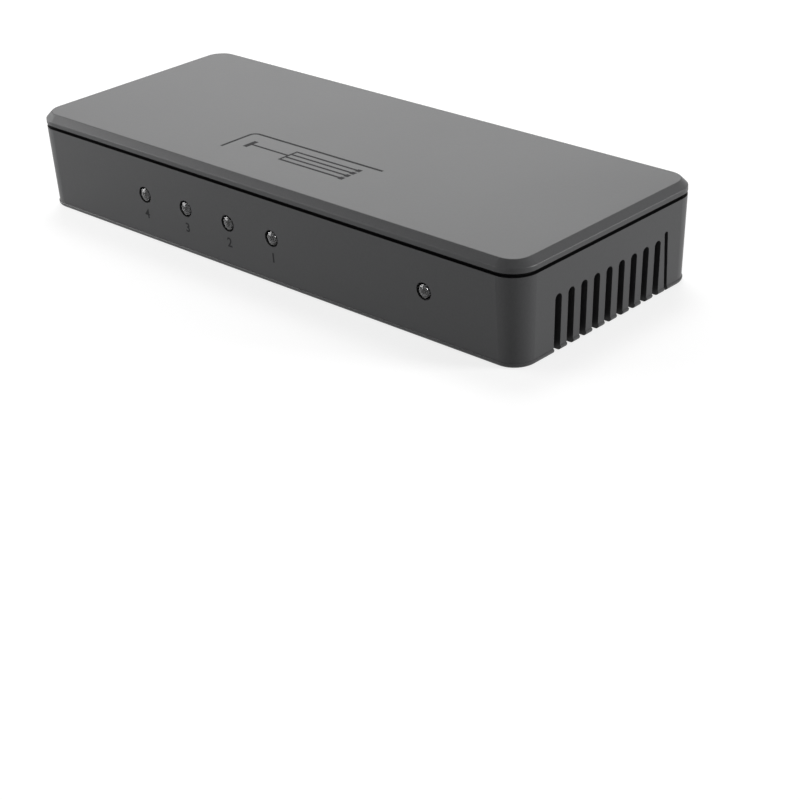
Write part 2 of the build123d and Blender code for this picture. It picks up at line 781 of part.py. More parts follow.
with BuildPart() as capacitor_cans:
    can_level = board_top + can_base_height
    groove_level = can_level + can_groove_height
    post(level(can_level), can_places, can_radius, can_groove_height)
    post(level(groove_level), can_places, can_radius - can_groove, can_groove)
    post(level(groove_level + can_groove), can_places, can_radius,
         can_height - can_groove_height - can_groove)
    fillet(capacitor_cans.faces().group_by(Axis.Z)[-1].edges(), can_round)
save(capacitor_cans, "capacitor_cans")

with BuildPart() as resettable_fuse:
    block(level(board_top), [(fuse_x, rear_row)], fuse_length, fuse_width, fuse_height)
save(resettable_fuse, "resettable_fuse")

with BuildPart() as rectifier_diode:
    block(level(board_top), [(diode_x, front_row)], diode_length, diode_width, diode_height)
    chamfer(rectifier_diode.faces().sort_by(Axis.Z)[-1].edges(), diode_edge)
save(rectifier_diode, "rectifier_diode")

with BuildPart() as crystal:
    with BuildSketch(level(board_top)) as rim_outline:
        with Locations((crystal_x, rear_row)):
            SlotOverall(crystal_length, crystal_width)
    extrude(rim_outline.sketch, amount=crystal_rim_height)
    with BuildSketch(level(board_top)) as can_outline:
        with Locations((crystal_x, rear_row)):
            SlotOverall(crystal_length - 2 * crystal_rim, crystal_width - 2 * crystal_rim)
    extrude(can_outline.sketch, amount=crystal_height)
save(crystal, "crystal")

# Small parts behind each receptacle and on both sides of the splitter chip
with BuildPart() as protection_arrays:
    places = [place for x in port_places for place in row_of((x, array_y), array_count, array_pitch)]
    block(level(board_top), places, array_length, array_width, array_height)
save(protection_arrays, "protection_arrays")

with BuildPart() as chip_resistors:
    places = [place for x in port_places for place in row_of((x, resistor_y), resistor_count, resistor_pitch)]
    block(level(board_top), places, passive_width, passive_length, resistor_height)
save(chip_resistors, "chip_resistors")

with BuildPart() as chip_capacitors:
    with BuildSketch(level(board_top)) as outlines:
        for side in (-1, 1):
            with Locations((chip_x + side * capacitor_x, zone_middle)):
                with GridLocations(0, capacitor_pitch, 1, capacitor_count):
                    Rectangle(passive_length, passive_width)
    extrude(outlines.sketch, amount=capacitor_height)
save(chip_capacitors, "chip_capacitors")

# Screws: four hold the board on its standoffs, four hold the cover from below
with BuildPart() as board_screws:
    post(level(board_top), standoff_places, board_head_radius, board_head_height)
    fillet(board_screws.faces().group_by(Axis.Z)[-1].edges(), board_head_round)
    post(level(board_top - board_screw_length), standoff_places, board_screw_radius, board_screw_length)
    drive_level = board_top + board_head_height - drive_depth
    block(level(drive_level), standoff_places, drive_length, drive_width, drive_depth, Mode.SUBTRACT)
    block(level(drive_level), standoff_places, drive_width, drive_length, drive_depth, Mode.SUBTRACT)
save(board_screws, "board_screws")

with BuildPart() as case_screws:
    post(level(head_recess - case_head_height), column_places, case_head_radius, case_head_height)
    post(level(head_recess), column_places, case_screw_radius, case_screw_length)
    block(level(head_recess - case_head_height), column_places, drive_length, drive_width, drive_depth,
          Mode.SUBTRACT)
    block(level(head_recess - case_head_height), column_places, drive_width, drive_length, drive_depth,
          Mode.SUBTRACT)
save(case_screws, "case_screws")
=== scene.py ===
import math

import bmesh
import bpy
from bpy.props import FloatProperty, FloatVectorProperty, PointerProperty
from bpy.types import Operator, Panel, PropertyGroup
from mathutils import Matrix, Vector


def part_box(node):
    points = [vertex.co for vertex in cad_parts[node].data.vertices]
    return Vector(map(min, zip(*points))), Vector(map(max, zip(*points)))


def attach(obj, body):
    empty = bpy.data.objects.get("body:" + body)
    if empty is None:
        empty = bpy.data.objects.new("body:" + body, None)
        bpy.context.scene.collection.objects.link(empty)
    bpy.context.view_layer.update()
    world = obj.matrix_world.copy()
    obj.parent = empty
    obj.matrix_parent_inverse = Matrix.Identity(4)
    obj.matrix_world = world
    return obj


bl_info = {
    "name": "HDMI splitter looks",
    "version": (1, 0, 0),
    "blender": (4, 5, 0),
    "location": "3D View > Sidebar > Splitter",
    "description": "Finishes, prints and studio stage for a five-socket video splitter box",
    "category": "Object",
}

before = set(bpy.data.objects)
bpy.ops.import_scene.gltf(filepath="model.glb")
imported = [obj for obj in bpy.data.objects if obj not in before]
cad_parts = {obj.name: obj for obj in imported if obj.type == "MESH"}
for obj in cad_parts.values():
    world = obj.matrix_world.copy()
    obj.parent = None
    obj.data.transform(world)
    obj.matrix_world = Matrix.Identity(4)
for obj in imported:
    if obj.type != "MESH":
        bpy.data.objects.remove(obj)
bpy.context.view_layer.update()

MM = 0.001
BODY = "root"

# Where pieces sit, read from the frame
cover_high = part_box("top_cover")[1]
panel_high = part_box("rear_panel")[1]
LAMPS = ["led_output_1", "led_output_2", "led_output_3", "led_output_4", "led_power"]
SOCKETS = range(1, 6)
FRONT = -1
REAR = 1

# The walls lean in by this much from the parting groove to the table
WALL_DRAFT = 0.8 * MM
WALL_LEAN = math.atan(WALL_DRAFT / panel_high.z)

# The parting groove's height, the slack at its edges and the share of colour and sheen left there by painted
# shade
GROOVE = 0.8 * MM
GROOVE_EDGE = 0.005 * MM
GROOVE_SHADE = 0.15

# Pieces made here: corners closer than this are joined, and numerals are this much bolder
WELD = 0.0001 * MM
BOLD = 0.02

# The floor's half width, how far it lies under the box and how matte it is, and the white of the stage
FLOOR_REACH = 4.0
FLOOR_GAP = 0.02 * MM
FLOOR_ROUGHNESS = 0.9
WHITE = (1.0, 1.0, 1.0, 1.0)

# Shared by every finish: patches of tone, the two noises of the grain, the speckle and the plain gloss
PATCH = 30 * MM
DRIFT = 0.08
COARSE_SHARE = 0.3
COARSE_SCALE = 0.3
SPECK_LIMITS = (0.35, 0.65)
FINE_ROUGHNESS = 0.6
PLAIN_SPECULAR = 0.5

# The copper lines under the board's mask
TRACE_PITCH = 2.4 * MM
TRACE_WIDTH_SHARE = 0.05
TRACE_COLOUR = (0.02, 0.034, 0.026)

# Grain drawn out a little or much along the depth of the box, along its height, or level all round
ALONG_Y = (1.0, 0.1, 1.0)
DRAWN_Y = (1.0, 0.04, 1.0)
DRAWN_Z = (1.0, 1.0, 0.04)
WOUND = (0.02, 0.02, 1.0)

# Finishes by name; the ones with no colour here take it from the settings
FINISHES = {
    "mark_ink": {"roughness": 0.7, "grain": 0.2 * MM, "depth": 0.002 * MM, "specular": 0.1},
    "shell_steel": {"roughness": 0.24, "grain": 0.2 * MM, "depth": 0.003 * MM, "metallic": 1.0,
                    "speckle": 0.04, "stretch": ALONG_Y},
    "contact_gold": {"roughness": 0.45, "grain": 0.1 * MM, "depth": 0.001 * MM, "metallic": 1.0},
    "lens_resin": {"roughness": 0.05, "grain": 0.8 * MM, "depth": 0.0005 * MM, "speckle": 0.02,
                   "specular": 0.12, "clear": 1.0},
    "cup_silver": {"roughness": 0.5, "grain": 0.4 * MM, "depth": 0.002 * MM, "speckle": 0.03},
    "socket_plastic": {"colour": (0.006, 0.006, 0.007), "roughness": 0.6, "specular": 0.2},
    "jack_plastic": {"colour": (0.005, 0.005, 0.006), "roughness": 0.55, "specular": 0.15},
    "jack_metal": {"colour": (0.55, 0.54, 0.5), "roughness": 0.3, "grain": 0.15 * MM,
                   "depth": 0.002 * MM, "metallic": 1.0, "stretch": ALONG_Y},
    "die_dark": {"colour": (0.002, 0.002, 0.003), "roughness": 0.6, "grain": 0.1 * MM,
                 "depth": 0.004 * MM, "specular": 0.1},
    "board_laminate": {"colour": (0.008, 0.014, 0.011), "roughness": 0.35, "grain": 0.5 * MM,
                       "depth": 0.01 * MM},
    "lead_tin": {"colour": (0.66, 0.66, 0.65), "roughness": 0.38, "grain": 0.2 * MM,
                 "depth": 0.003 * MM, "metallic": 1.0},
    "chip_resin": {"colour": (0.02, 0.02, 0.021), "roughness": 0.55, "grain": 0.15 * MM,
                   "depth": 0.008 * MM},
    "pad_rubber": {"colour": (0.4, 0.46, 0.52), "roughness": 0.75, "grain": 0.4 * MM,
                   "depth": 0.02 * MM},
    "sink_aluminium": {"colour": (0.05, 0.05, 0.055), "roughness": 0.42, "grain": 0.12 * MM,
                       "depth": 0.006 * MM, "metallic": 0.6, "stretch": DRAWN_Y},
    "ferrite": {"colour": (0.04, 0.04, 0.042), "roughness": 0.65, "grain": 0.1 * MM,
                "depth": 0.015 * MM, "speckle": 0.4},
    "winding_copper": {"colour": (0.6, 0.25, 0.11), "roughness": 0.32, "grain": 0.2 * MM,
                       "depth": 0.06 * MM, "metallic": 1.0, "stretch": WOUND},
    "can_aluminium": {"colour": (0.72, 0.72, 0.73), "roughness": 0.32, "grain": 0.12 * MM,
                      "depth": 0.004 * MM, "metallic": 1.0, "stretch": DRAWN_Z},
    "base_plastic": {"colour": (0.015, 0.015, 0.016), "roughness": 0.55},
    "fuse_resin": {"colour": (0.03, 0.13, 0.06), "roughness": 0.5, "grain": 0.2 * MM,
                   "depth": 0.006 * MM},
    "crystal_steel": {"colour": (0.66, 0.66, 0.66), "roughness": 0.28, "grain": 0.15 * MM,
                      "depth": 0.003 * MM, "metallic": 1.0},
    "resistor_glaze": {"colour": (0.012, 0.012, 0.013), "roughness": 0.25, "grain": 0.2 * MM,
                       "depth": 0.003 * MM},
    "capacitor_ceramic": {"colour": (0.36, 0.25, 0.16), "roughness": 0.45, "grain": 0.15 * MM,
                          "depth": 0.006 * MM},
    "screw_steel": {"colour": (0.5, 0.5, 0.51), "roughness": 0.35, "grain": 0.2 * MM,
                    "depth": 0.003 * MM, "metallic": 1.0},
}


class CaseFinish(PropertyGroup):
    """The moulded charcoal plastic of the cover, the case and the rear panel."""

    colour: FloatVectorProperty(
        name="Plastic colour",
        description="Colour of the moulded plastic",
        subtype="COLOR",
        size=3,
        min=0.0,
        max=1.0,
        default=(0.047, 0.0475, 0.049),
    )
    roughness: FloatProperty(
        name="Roughness",
        description="How matte the plastic is",
        default=0.42,
        min=0.0,
        max=1.0,
        subtype="FACTOR",
    )
    grain: FloatProperty(
        name="Grain size",
        description="Distance between the bumps of the moulded texture",
        default=0.34 * MM,
        min=0.0,
        unit="LENGTH",
    )
    grain_depth: FloatProperty(
        name="Grain depth",
        description="Height of the bumps of the moulded texture",
        default=0.012 * MM,
        min=0.0,
        unit="LENGTH",
    )
    gloss: FloatProperty(
        name="Refraction index", description="Strength of the plastic's sheen", default=1.34, min=1.0, max=2.0
    )


class MetalFinish(PropertyGroup):
    """The plated metals of the sockets, the power jack and the screws."""

    shell: FloatVectorProperty(
        name="Shell colour",
        description="Colour of the nickel plated socket shells",
        subtype="COLOR",
        size=3,
        min=0.0,
        max=1.0,
        default=(0.86, 0.86, 0.85),
    )
    # The contact colour is darker than bare gold plating: painted shade for the shadow deep inside the
    # sockets
    contact: FloatVectorProperty(
        name="Contact colour",
        description="Colour of the gold plated contacts",
        subtype="COLOR",
        size=3,
        min=0.0,
        max=1.0,
        default=(0.42, 0.31, 0.15),
    )


class LensFinish(PropertyGroup):
    """The clear resin of the lamps and the small parts seen through it."""

    resin: FloatVectorProperty(
        name="Resin colour",
        description="Tint of the clear resin",
        subtype="COLOR",
        size=3,
        min=0.0,
        max=1.0,
        default=(0.6, 0.61, 0.62),
    )
    cup: FloatVectorProperty(
        name="Cup colour",
        description="Colour of the reflector cup inside a lamp",
        subtype="COLOR",
        size=3,
        min=0.0,
        max=1.0,
        default=(0.13, 0.13, 0.132),
    )
    cup_depth: FloatProperty(
        name="Cup depth",
        description="Distance from a lamp's tip to the rim of its cup",
        default=0.5 * MM,
        min=0.0,
        unit="LENGTH",
    )


class PrintFinish(PropertyGroup):
    """The dark ink marks on the cover, the front wall and the rear panel."""

    ink: FloatVectorProperty(
        name="Ink colour",
        description="Colour of the printed marks",
        subtype="COLOR",
        size=3,
        min=0.0,
        max=1.0,
        default=(0.018, 0.018, 0.019),
    )
    thickness: FloatProperty(
        name="Ink thickness",
        description="How far a printed mark stands on the plastic",
        default=0.01 * MM,
        min=0.0,
        unit="LENGTH",
    )
    numeral: FloatProperty(
        name="Numeral height",
        description="Height of the plain numbers under the lamps",
        default=2.15 * MM,
        min=0.0,
        unit="LENGTH",
    )
    numeral_centre: FloatProperty(
        name="Numeral level",
        description="Height of the middle of the numbers above the table",
        default=6.1 * MM,
        min=0.0,
        unit="LENGTH",
    )
    rear_mark: FloatProperty(
        name="Rear mark height",
        description="Height of the marks under the sockets",
        default=1.5 * MM,
        min=0.0,
        unit="LENGTH",
    )
    rear_centre: FloatProperty(
        name="Rear mark level",
        description="Height of the middle of the rear marks above the table",
        default=4.9 * MM,
        min=0.0,
        unit="LENGTH",
    )


class StageSettings(PropertyGroup):
    """The camera, the lamps and the floor."""

    azimuth: FloatProperty(
        name="Camera azimuth",
        description="Turn of the camera about the box from its front",
        default=math.radians(43.82),
        subtype="ANGLE",
    )
    elevation: FloatProperty(
        name="Camera elevation",
        description="Height angle of the camera above the floor",
        default=math.radians(27.81),
        subtype="ANGLE",
    )
    roll: FloatProperty(
        name="Camera roll",
        description="Tilt of the camera about its own line of sight",
        default=math.radians(-2.44),
        subtype="ANGLE",
    )
    distance: FloatProperty(
        name="Camera distance",
        description="Distance from the camera to the foot of the box along the line of sight",
        default=415.2 * MM,
        unit="LENGTH",
    )
    aim_right: FloatProperty(
        name="Aim right",
        description="How far right of the box's foot the camera points",
        default=10.33 * MM,
        unit="LENGTH",
    )
    aim_up: FloatProperty(
        name="Aim up",
        description="How far above the box's foot the camera points",
        default=-35.17 * MM,
        unit="LENGTH",
    )
    lens: FloatProperty(name="Lens", description="Focal length of the camera", default=86.28, min=1.0)
    world: FloatProperty(
        name="Surround strength",
        description="Brightness of the even light around the box",
        default=0.18,
        min=0.0,
    )
    floor_white: FloatProperty(
        name="Floor white",
        description="Share of the floor's white that needs no light",
        default=0.75,
        min=0.0,
    )
    floor_tone: FloatProperty(
        name="Floor tone",
        description="How much light the floor gives back",
        default=0.35,
        min=0.0,
        max=1.0,
    )
    sheen_lamp: FloatProperty(
        name="Sheen lamp power",
        description="Power of the broad lamp behind the box that gives the cover its sheen",
        default=4.5,
        min=0.0,
        unit="POWER",
    )
    top_lamp: FloatProperty(
        name="Top lamp power",
        description="Power of the lamp high behind the box",
        default=8.0,
        min=0.0,
        unit="POWER",
    )
    front_lamp: FloatProperty(
        name="Front lamp power",
        description="Power of the low lamp in front on the left",
        default=1.45,
        min=0.0,
        unit="POWER",
    )
    glint_lamp: FloatProperty(
        name="Glint lamp power",
        description="Power of the small lamp in front that shines in the lenses",
        default=2.5,
        min=0.0,
        unit="POWER",
    )
    side_lamp: FloatProperty(
        name="Side lamp power",
        description="Power of the low lamp behind on the right, on the vented end wall",
        default=20.5,
        min=0.0,
        unit="POWER",
    )


def add_socket(group, name, kind, direction, value=None):
    """Adds a socket to a node group's interface."""
    socket = group.interface.new_socket(name=name, in_out=direction, socket_type=kind)
    if value is not None:
        socket.default_value = value
    return socket


def new_group(name, inputs, outputs):
    """Starts a shader node group and returns it with its input and output nodes."""
    group = bpy.data.node_groups.new(name, "ShaderNodeTree")
    for label, kind, value in inputs:
        add_socket(group, label, kind, "INPUT", value)
    for label, kind in outputs:
        add_socket(group, label, kind, "OUTPUT")
    return group, group.nodes.new("NodeGroupInput"), group.nodes.new("NodeGroupOutput")


def grain_group():
    """Fine texture, even or drawn out: bump height and a speckle mask from two sizes of noise."""
    name = "moulded_grain"
    if name in bpy.data.node_groups:
        return bpy.data.node_groups[name]
    group, entry, leave = new_group(
        name,
        [
            ("Size", "NodeSocketFloat", 0.3 * MM),
            ("Coarse Share", "NodeSocketFloat", COARSE_SHARE),
            ("Stretch", "NodeSocketVector", (1.0, 1.0, 1.0)),
        ],
        [("Height", "NodeSocketFloat"), ("Speck", "NodeSocketFloat")],
    )
    nodes, links = group.nodes, group.links
    coordinates = nodes.new("ShaderNodeTexCoord")
    place = nodes.new("ShaderNodeVectorMath")
    place.operation = "MULTIPLY"
    links.new(coordinates.outputs["Object"], place.inputs[0])
    links.new(entry.outputs["Stretch"], place.inputs[1])
    scale = nodes.new("ShaderNodeMath")
    scale.operation = "DIVIDE"
    scale.inputs[0].default_value = 1.0
    links.new(entry.outputs["Size"], scale.inputs[1])
    fine = nodes.new("ShaderNodeTexNoise")
    fine.inputs["Detail"].default_value = 2.0
    fine.inputs["Roughness"].default_value = FINE_ROUGHNESS
    links.new(place.outputs["Vector"], fine.inputs["Vector"])
    links.new(scale.outputs[0], fine.inputs["Scale"])
    wider = nodes.new("ShaderNodeMath")
    wider.operation = "MULTIPLY"
    wider.inputs[1].default_value = COARSE_SCALE
    links.new(scale.outputs[0], wider.inputs[0])
    coarse = nodes.new("ShaderNodeTexNoise")
    coarse.inputs["Detail"].default_value = 1.0
    links.new(place.outputs["Vector"], coarse.inputs["Vector"])
    links.new(wider.outputs[0], coarse.inputs["Scale"])
    mix = nodes.new("ShaderNodeMix")
    mix.data_type = "FLOAT"
    links.new(entry.outputs["Coarse Share"], mix.inputs["Factor"])
    links.new(fine.outputs["Fac"], mix.inputs["A"])
    links.new(coarse.outputs["Fac"], mix.inputs["B"])
    links.new(mix.outputs["Result"], leave.inputs["Height"])
    speck = nodes.new("ShaderNodeMapRange")
    speck.inputs["From Min"].default_value, speck.inputs["From Max"].default_value = SPECK_LIMITS
    links.new(fine.outputs["Fac"], speck.inputs["Value"])
    links.new(speck.outputs["Result"], leave.inputs["Speck"])
    return group


def tone_group():
    """Slow drift of a colour and of a roughness over a surface, with fine speckle."""
    name = "tone_drift"
    if name in bpy.data.node_groups:
        return bpy.data.node_groups[name]
    group, entry, leave = new_group(
        name,
        [
            ("Colour", "NodeSocketColor", (0.5, 0.5, 0.5, 1.0)),
            ("Roughness", "NodeSocketFloat", 0.5),
            ("Speck", "NodeSocketFloat", 0.5),
            ("Patch Size", "NodeSocketFloat", 0.03),
            ("Drift", "NodeSocketFloat", 0.06),
            ("Speckle", "NodeSocketFloat", 0.05),
        ],
        [("Colour", "NodeSocketColor"), ("Roughness", "NodeSocketFloat")],
    )
    nodes, links = group.nodes, group.links
    place = nodes.new("ShaderNodeTexCoord")
    scale = nodes.new("ShaderNodeMath")
    scale.operation = "DIVIDE"
    scale.inputs[0].default_value = 1.0
    links.new(entry.outputs["Patch Size"], scale.inputs[1])
    patch = nodes.new("ShaderNodeTexNoise")
    patch.inputs["Detail"].default_value = 3.0
    links.new(place.outputs["Object"], patch.inputs["Vector"])
    links.new(scale.outputs[0], patch.inputs["Scale"])

    def around_one(value, spread):
        """1 plus a spread times a value about its middle."""
        centred = nodes.new("ShaderNodeMath")
        centred.operation = "SUBTRACT"
        links.new(value, centred.inputs[0])
        centred.inputs[1].default_value = 0.5
        scaled = nodes.new("ShaderNodeMath")
        scaled.operation = "MULTIPLY_ADD"
        links.new(centred.outputs[0], scaled.inputs[0])
        links.new(spread, scaled.inputs[1])
        scaled.inputs[2].default_value = 1.0
        return scaled.outputs[0]

    drift = around_one(patch.outputs["Fac"], entry.outputs["Drift"])
    speckle = around_one(entry.outputs["Speck"], entry.outputs["Speckle"])
    both = nodes.new("ShaderNodeMath")
    both.operation = "MULTIPLY"
    links.new(drift, both.inputs[0])
    links.new(speckle, both.inputs[1])
    shade = nodes.new("ShaderNodeVectorMath")
    shade.operation = "SCALE"
    links.new(entry.outputs["Colour"], shade.inputs[0])
    links.new(both.outputs[0], shade.inputs["Scale"])
    links.new(shade.outputs["Vector"], leave.inputs["Colour"])
    rough = nodes.new("ShaderNodeMath")
    rough.operation = "MULTIPLY"
    links.new(entry.outputs["Roughness"], rough.inputs[0])
    links.new(drift, rough.inputs[1])
    links.new(rough.outputs[0], leave.inputs["Roughness"])
    return group


def surface(name, colour, roughness, grain=0.3 * MM, depth=0.01 * MM, speckle=0.08, metallic=0.0,
            ior=1.5, specular=PLAIN_SPECULAR, stretch=(1.0, 1.0, 1.0), clear=0.0):
    """A surface finish built from the grain and tone groups."""
    material = bpy.data.materials.new(name)
    material.use_nodes = True
    nodes, links = material.node_tree.nodes, material.node_tree.links
    shader = nodes["Principled BSDF"]
    shader.inputs["Metallic"].default_value = metallic
    shader.inputs["IOR"].default_value = ior
    shader.inputs["Specular IOR Level"].default_value = specular
    shader.inputs["Transmission Weight"].default_value = clear
    texture = nodes.new("ShaderNodeGroup")
    texture.name = "Grain"
    texture.node_tree = grain_group()
    texture.inputs["Size"].default_value = grain
    texture.inputs["Coarse Share"].default_value = COARSE_SHARE
    texture.inputs["Stretch"].default_value = stretch
    tone = nodes.new("ShaderNodeGroup")
    tone.name = "Tone"
    tone.node_tree = tone_group()
    tone.inputs["Colour"].default_value = (*colour, 1.0)
    tone.inputs["Roughness"].default_value = roughness
    tone.inputs["Patch Size"].default_value = PATCH
    tone.inputs["Drift"].default_value = DRIFT
    tone.inputs["Speckle"].default_value = speckle
    bump = nodes.new("ShaderNodeBump")
    bump.inputs["Distance"].default_value = depth
    links.new(texture.outputs["Speck"], tone.inputs["Speck"])
    links.new(texture.outputs["Height"], bump.inputs["Height"])
    links.new(tone.outputs["Colour"], shader.inputs["Base Color"])
    links.new(tone.outputs["Roughness"], shader.inputs["Roughness"])
    links.new(bump.outputs["Normal"], shader.inputs["Normal"])
    return material


def finished(name, **chosen):
    """A finish from the table, with what the settings choose for it."""
    return surface(name, **FINISHES[name], **chosen)


def shade_groove(material, colour, low, high):
    """Paints shade into a finish between two heights: the parting groove's colour and sheen are darkened as
    painted shadow.
    """
    nodes, links = material.node_tree.nodes, material.node_tree.links
    place = nodes.new("ShaderNodeTexCoord")
    height = nodes.new("ShaderNodeSeparateXYZ")
    links.new(place.outputs["Object"], height.inputs[0])
    inside = nodes.new("ShaderNodeMath")
    inside.operation = "COMPARE"
    inside.inputs[1].default_value = (low + high) / 2
    inside.inputs[2].default_value = (high - low) / 2 + GROOVE_EDGE
    links.new(height.outputs["Z"], inside.inputs[0])
    # Painted shade: the groove's colour falls to GROOVE_SHADE of the plastic's
    shade = nodes.new("ShaderNodeMix")
    shade.data_type = "RGBA"
    shade.inputs["A"].default_value = (*colour, 1.0)
    shade.inputs["B"].default_value = (*(channel * GROOVE_SHADE for channel in colour), 1.0)
    links.new(inside.outputs[0], shade.inputs["Factor"])
    links.new(shade.outputs["Result"], nodes["Tone"].inputs["Colour"])
    # Painted shade: the groove's sheen falls by the same share
    dim = nodes.new("ShaderNodeMath")
    dim.operation = "MULTIPLY_ADD"
    dim.inputs[1].default_value = (GROOVE_SHADE - 1) * PLAIN_SPECULAR
    dim.inputs[2].default_value = PLAIN_SPECULAR
    links.new(inside.outputs[0], dim.inputs[0])
    links.new(dim.outputs[0], nodes["Principled BSDF"].inputs["Specular IOR Level"])


def laminate():
    """A board under solder mask, with copper lines that show through it."""
    name = "board_laminate"
    mask = (*FINISHES[name]["colour"], 1.0)
    material = finished(name)
    nodes, links = material.node_tree.nodes, material.node_tree.links
    place = nodes.new("ShaderNodeTexCoord")
    lines = nodes.new("ShaderNodeTexBrick")
    lines.inputs["Scale"].default_value = 1 / TRACE_PITCH
    lines.inputs["Mortar Size"].default_value = TRACE_WIDTH_SHARE
    lines.inputs["Color1"].default_value = mask
    lines.inputs["Color2"].default_value = mask
    lines.inputs["Mortar"].default_value = (*TRACE_COLOUR, 1.0)
    links.new(place.outputs["Object"], lines.inputs["Vector"])
    links.new(lines.outputs["Color"], nodes["Tone"].inputs["Colour"])
    return material


def ink(context):
    """The dark print shared by every mark."""
    name = "mark_ink"
    return bpy.data.materials.get(name) or finished(name, colour=context.scene.splitter_print.ink)


def dress(material, *names):
    """Gives CAD nodes a finish."""
    for name in names:
        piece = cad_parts[name]
        piece.data.materials.clear()
        piece.data.materials.append(material)


def mesh_piece(name, build, material):
    """A new piece of the box, made in mesh code, that rides with the frame."""
    mesh = bpy.data.meshes.new(name)
    shape = bmesh.new()
    build(shape)
    bmesh.ops.remove_doubles(shape, verts=shape.verts, dist=WELD)
    bmesh.ops.recalc_face_normals(shape, faces=shape.faces)
    shape.to_mesh(mesh)
    shape.free()
    mesh.materials.append(material)
    piece = bpy.data.objects.new(name, mesh)
    bpy.context.scene.collection.objects.link(piece)
    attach(piece, BODY)
    return piece


def ring_wall(shape, first, second):
    """Faces between two rings of corners."""
    for index in range(len(first)):
        shape.faces.new((first[index - 1], first[index], second[index], second[index - 1]))


def turned(shape, centre, profile, sides=32):
    """A closed turned form about the y axis, from radius and depth pairs that end on the axis."""
    turns = [2 * math.pi * index / sides for index in range(sides)]
    rings = []
    for radius, depth in profile[1:-1]:
        spots = [Vector((radius * math.cos(turn), depth, radius * math.sin(turn))) for turn in turns]
        rings.append([shape.verts.new(centre + spot) for spot in spots])
    for first, second in zip(rings, rings[1:]):
        ring_wall(shape, first, second)
    for ring, (radius, depth) in ((rings[0], profile[0]), (rings[-1], profile[-1])):
        tip = shape.verts.new(centre + Vector((radius, depth, 0)))
        for index in range(sides):
            shape.faces.new((ring[index - 1], ring[index], tip))


def stroke(shape, place, points, width, thickness):
    """A drawn line as a closed ribbon on a flat side, along points across and up from the side's place."""
    points = [Vector(point) for point in points]
    rings = []
    for index, point in enumerate(points):
        steps = [points[later] - points[later - 1] for later in (index, index + 1)
                 if 0 < later < len(points)]
        ahead = sum((step.normalized() for step in steps), Vector((0, 0))).normalized()
        reach = width / 2 / ahead.dot(steps[0].normalized())
        beside = Vector((-ahead.y, ahead.x)) * reach
        corners = [(point + beside, thickness), (point - beside, thickness), (point - beside, -thickness),
                   (point + beside, -thickness)]
        rings.append([shape.verts.new(place @ Vector((*spot, height))) for spot, height in corners])
    for first, second in zip(rings, rings[1:]):
        ring_wall(shape, first, second)
    shape.faces.new(rings[0])
    shape.faces.new(reversed(rings[-1]))


def arc(centre, radius, start, end, steps=8):
    """Points along an arc, with angles in degrees."""
    turns = [math.radians(start + (end - start) * index / steps) for index in range(steps + 1)]
    return [(centre[0] + radius * math.cos(turn), centre[1] + radius * math.sin(turn)) for turn in turns]


def numeral(shape, place, text, height, thickness):
    """A plain number as a closed form on a flat side, centred on the side's place."""
    curve = bpy.data.curves.new("numeral", "FONT")
    curve.body = text
    curve.extrude = thickness
    curve.offset = BOLD
    writer = bpy.data.objects.new("numeral", curve)
    bpy.context.scene.collection.objects.link(writer)
    mesh = bpy.data.meshes.new_from_object(writer)
    bpy.data.objects.remove(writer)
    bpy.data.curves.remove(curve)
    spots = [corner.co for corner in mesh.vertices]
    low = Vector((min(spot.x for spot in spots), min(spot.y for spot in spots), 0))
    high = Vector((max(spot.x for spot in spots), max(spot.y for spot in spots), 0))
    scale = height / (high.y - low.y)
    mesh.transform(place @ Matrix.Diagonal((scale, scale, 1, 1)) @ Matrix.Translation(-(low + high) / 2))
    shape.from_mesh(mesh)
    bpy.data.meshes.remove(mesh)


def on_wall(side, x, height):
    """A place on the leaning front or rear wall, with the directions across, up and out."""
    lean = WALL_DRAFT * (1 - height / panel_high.z)
    across = Vector((-side, 0, 0))
    up = Vector((0, side * math.sin(WALL_LEAN), math.cos(WALL_LEAN)))
    turn = Matrix((across, up, across.cross(up))).transposed().to_4x4()
    return Matrix.Translation((x, side * (cover_high.y - lean), height)) @ turn


def centre_x(name):
    """The middle of a node along the box."""
    low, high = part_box(name)
    return (low.x + high.x) / 2


class SPLITTER_OT_case(Operator):
    """Gives the cover, the case and the rear panel their moulded plastic."""

    bl_idname = "splitter.case"
    bl_label = "Case plastic"

    def execute(self, context):
        finish = context.scene.splitter_case
        plastic = surface("case_plastic", finish.colour, finish.roughness, finish.grain, finish.grain_depth,
                          ior=finish.gloss)
        # Painted shade darkens the parting groove's colour and sheen
        shade_groove(plastic, finish.colour, panel_high.z - GROOVE, panel_high.z)
        dress(plastic, "bottom_case", "top_cover", "rear_panel")
        return {"FINISHED"}


class SPLITTER_OT_sockets(Operator):
    """Gives the video sockets their plated shells, black cores and gold contacts."""

    bl_idname = "splitter.sockets"
    bl_label = "Video sockets"

    def execute(self, context):
        finish = context.scene.splitter_metal
        shell = finished("shell_steel", colour=finish.shell)
        core = finished("socket_plastic")
        contact = finished("contact_gold", colour=finish.contact)
        for number in SOCKETS:
            dress(shell, f"hdmi_shell_{number}")
            dress(core, f"hdmi_core_{number}")
            dress(contact, f"hdmi_contacts_{number}")
        return {"FINISHED"}


class SPLITTER_OT_power_jack(Operator):
    """Gives the power jack its black housing, plated pin and leaf."""

    bl_idname = "splitter.power_jack"
    bl_label = "Power jack"

    def execute(self, context):
        dress(finished("jack_plastic"), "dc_jack_housing")
        dress(finished("jack_metal"), "dc_jack_pin", "dc_jack_leaf")
        return {"FINISHED"}


